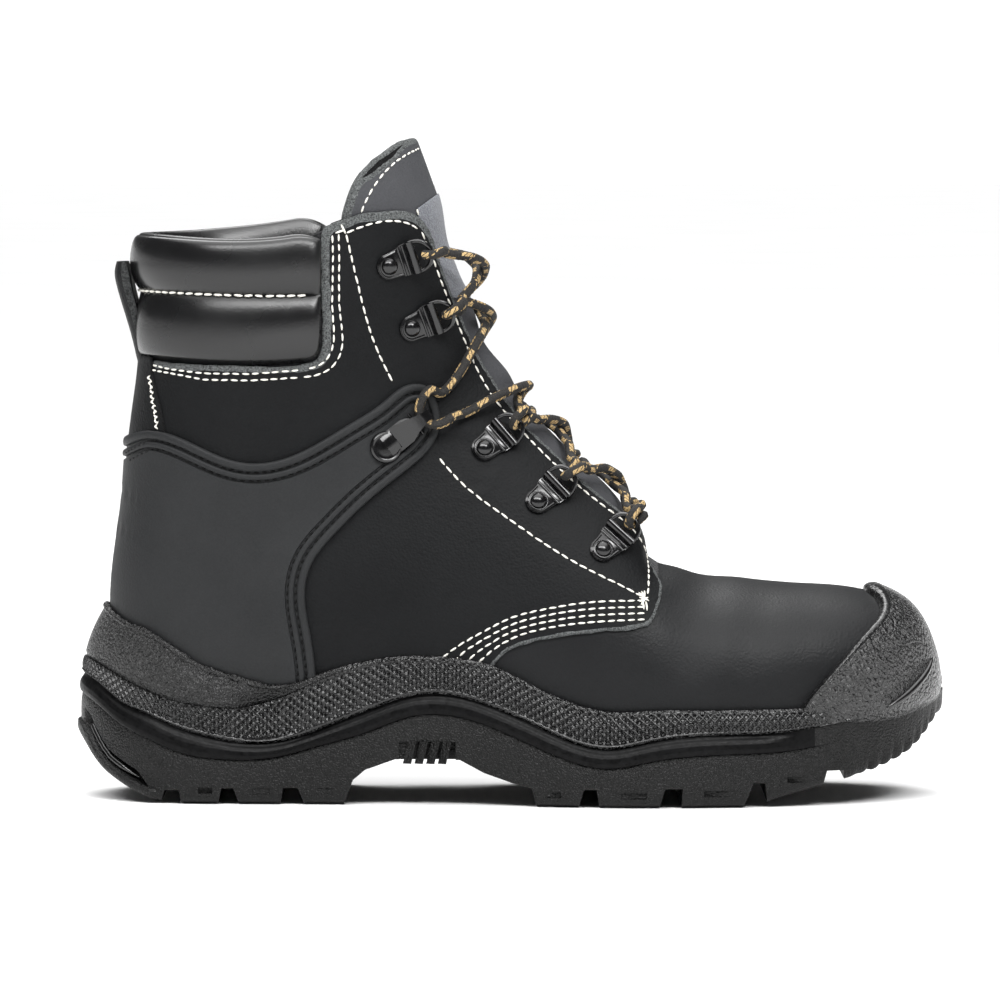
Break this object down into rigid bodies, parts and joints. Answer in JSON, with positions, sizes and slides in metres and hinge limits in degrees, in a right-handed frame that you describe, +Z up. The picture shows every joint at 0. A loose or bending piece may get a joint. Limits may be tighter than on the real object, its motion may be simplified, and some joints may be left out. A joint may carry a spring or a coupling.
{
  "type": "safety boot",
  "caption": "Ankle-high black leather safety boot for the right foot, laced through D-rings and lock hooks, with a padded collar, toe bumper, heel cup and lugged sole.",
  "frame": {"origin": "on the floor under the middle of the boot's bounding box", "axes": "+X along the boot to the toe, +Y to the inner (medial) side of the foot, +Z up"},
  "size_m": [0.3104, 0.1133, 0.2341],
  "materials": {
    "outsole_rubber": "matte",
    "midsole_foam": "fine grain",
    "insole_board": "matte",
    "leather": "matte",
    "counter_leather": "smooth matte",
    "collar_leather": "satin",
    "tongue_leather": "matte",
    "black_metal": "gloss",
    "lace_cord": "woven"
  },
  "bodies": {
    "root": {"outsole": "outsole_rubber", "midsole": "midsole_foam", "insole": "insole_board", "upper": "leather", "heel_counter": "counter_leather", "collar_pad": "collar_leather", "pull_tab": "leather", "tongue": "tongue_leather", "eyelet_lateral_1": "black_metal", "eyelet_lateral_2": "black_metal", "eyelet_lateral_3": "black_metal", "eyelet_lateral_4": "black_metal", "eyelet_lateral_5": "black_metal", "eyelet_medial_1": "black_metal", "eyelet_medial_2": "black_metal", "eyelet_medial_3": "black_metal", "eyelet_medial_4": "black_metal", "eyelet_medial_5": "black_metal", "hook_lateral": "black_metal", "hook_medial": "black_metal", "lace_bar": "lace_cord", "lace_cross_1": "lace_cord", "lace_cross_2": "lace_cord", "lace_cross_3": "lace_cord", "lace_cross_4": "lace_cord", "lace_cross_5": "lace_cord"}
  },
  "joints": []
}
